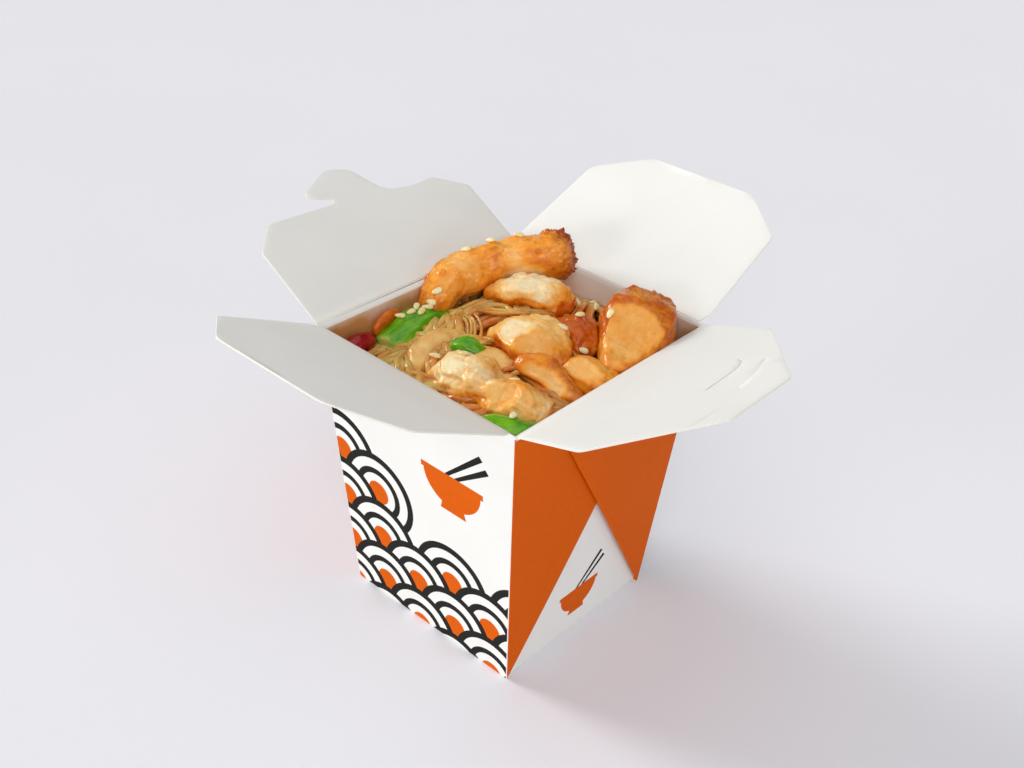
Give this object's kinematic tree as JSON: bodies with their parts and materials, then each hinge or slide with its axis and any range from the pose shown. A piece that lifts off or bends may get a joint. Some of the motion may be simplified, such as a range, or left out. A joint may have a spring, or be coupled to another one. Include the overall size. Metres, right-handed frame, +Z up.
{
  "type": "noodle takeaway box",
  "caption": "Open folded-board takeaway box with a flaring square body and hinged lid flaps, heaped with glass noodles, chicken and peppers.",
  "frame": {"origin": "centre of the base's underside, where the box stands", "axes": "+Z up; the printed walls face -Y and +Y, and the end walls with the folded gussets face -X and +X, the one with the slit flap at +X"},
  "size_m": [0.1676, 0.184, 0.1252],
  "materials": {
    "board_white": "matt white folding board",
    "print_orange": "satin orange ink on board",
    "print_black": "satin black ink on board",
    "glass_noodle": "wet translucent noodles",
    "chicken_glazed": "glazed fried chicken",
    "pepper_green": "glossy cooked green pepper",
    "pepper_red": "glossy cooked red pepper",
    "carrot": "cooked carrot",
    "onion": "translucent cooked onion",
    "sesame": "satin toasted seed"
  },
  "bodies": {
    "box": {"carton": "board_white", "noodles": "glass_noodle", "chicken_back": "chicken_glazed", "chicken_right": "chicken_glazed", "chicken_top": "chicken_glazed", "chicken_centre": "chicken_glazed", "chicken_wedge": "chicken_glazed", "chicken_front": "chicken_glazed", "chicken_lobe": "chicken_glazed", "chicken_small": "chicken_glazed", "pepper_green_large": "pepper_green", "pepper_green_small": "pepper_green", "pepper_green_corner": "pepper_green", "pepper_red": "pepper_red", "carrot": "carrot", "onion_left": "onion", "onion_centre": "onion"},
    "flap_hook": {"flap_hook": "board_white"},
    "flap_slit": {"flap_slit": "board_white"},
    "flap_back": {"flap_back": "board_white"},
    "flap_front": {"flap_front": "board_white"}
  },
  "joints": [
    {"name": "hook_hinge", "type": "hinge", "parent": "box", "child": "flap_hook", "pos_m": [-0.04015, 0, 0.1], "axis": [0, 1, 0], "range_deg": [-117, 61]},
    {"name": "slit_hinge", "type": "hinge", "parent": "box", "child": "flap_slit", "pos_m": [0.04015, 0, 0.1], "axis": [0, -1, 0], "range_deg": [-107, 71]},
    {"name": "back_hinge", "type": "hinge", "parent": "box", "child": "flap_back", "pos_m": [0, 0.04315, 0.1], "axis": [1, 0, 0], "range_deg": [-112, 66]},
    {"name": "front_hinge", "type": "hinge", "parent": "box", "child": "flap_front", "pos_m": [0, -0.04315, 0.1], "axis": [-1, 0, 0], "range_deg": [-115, 133]}
  ]
}
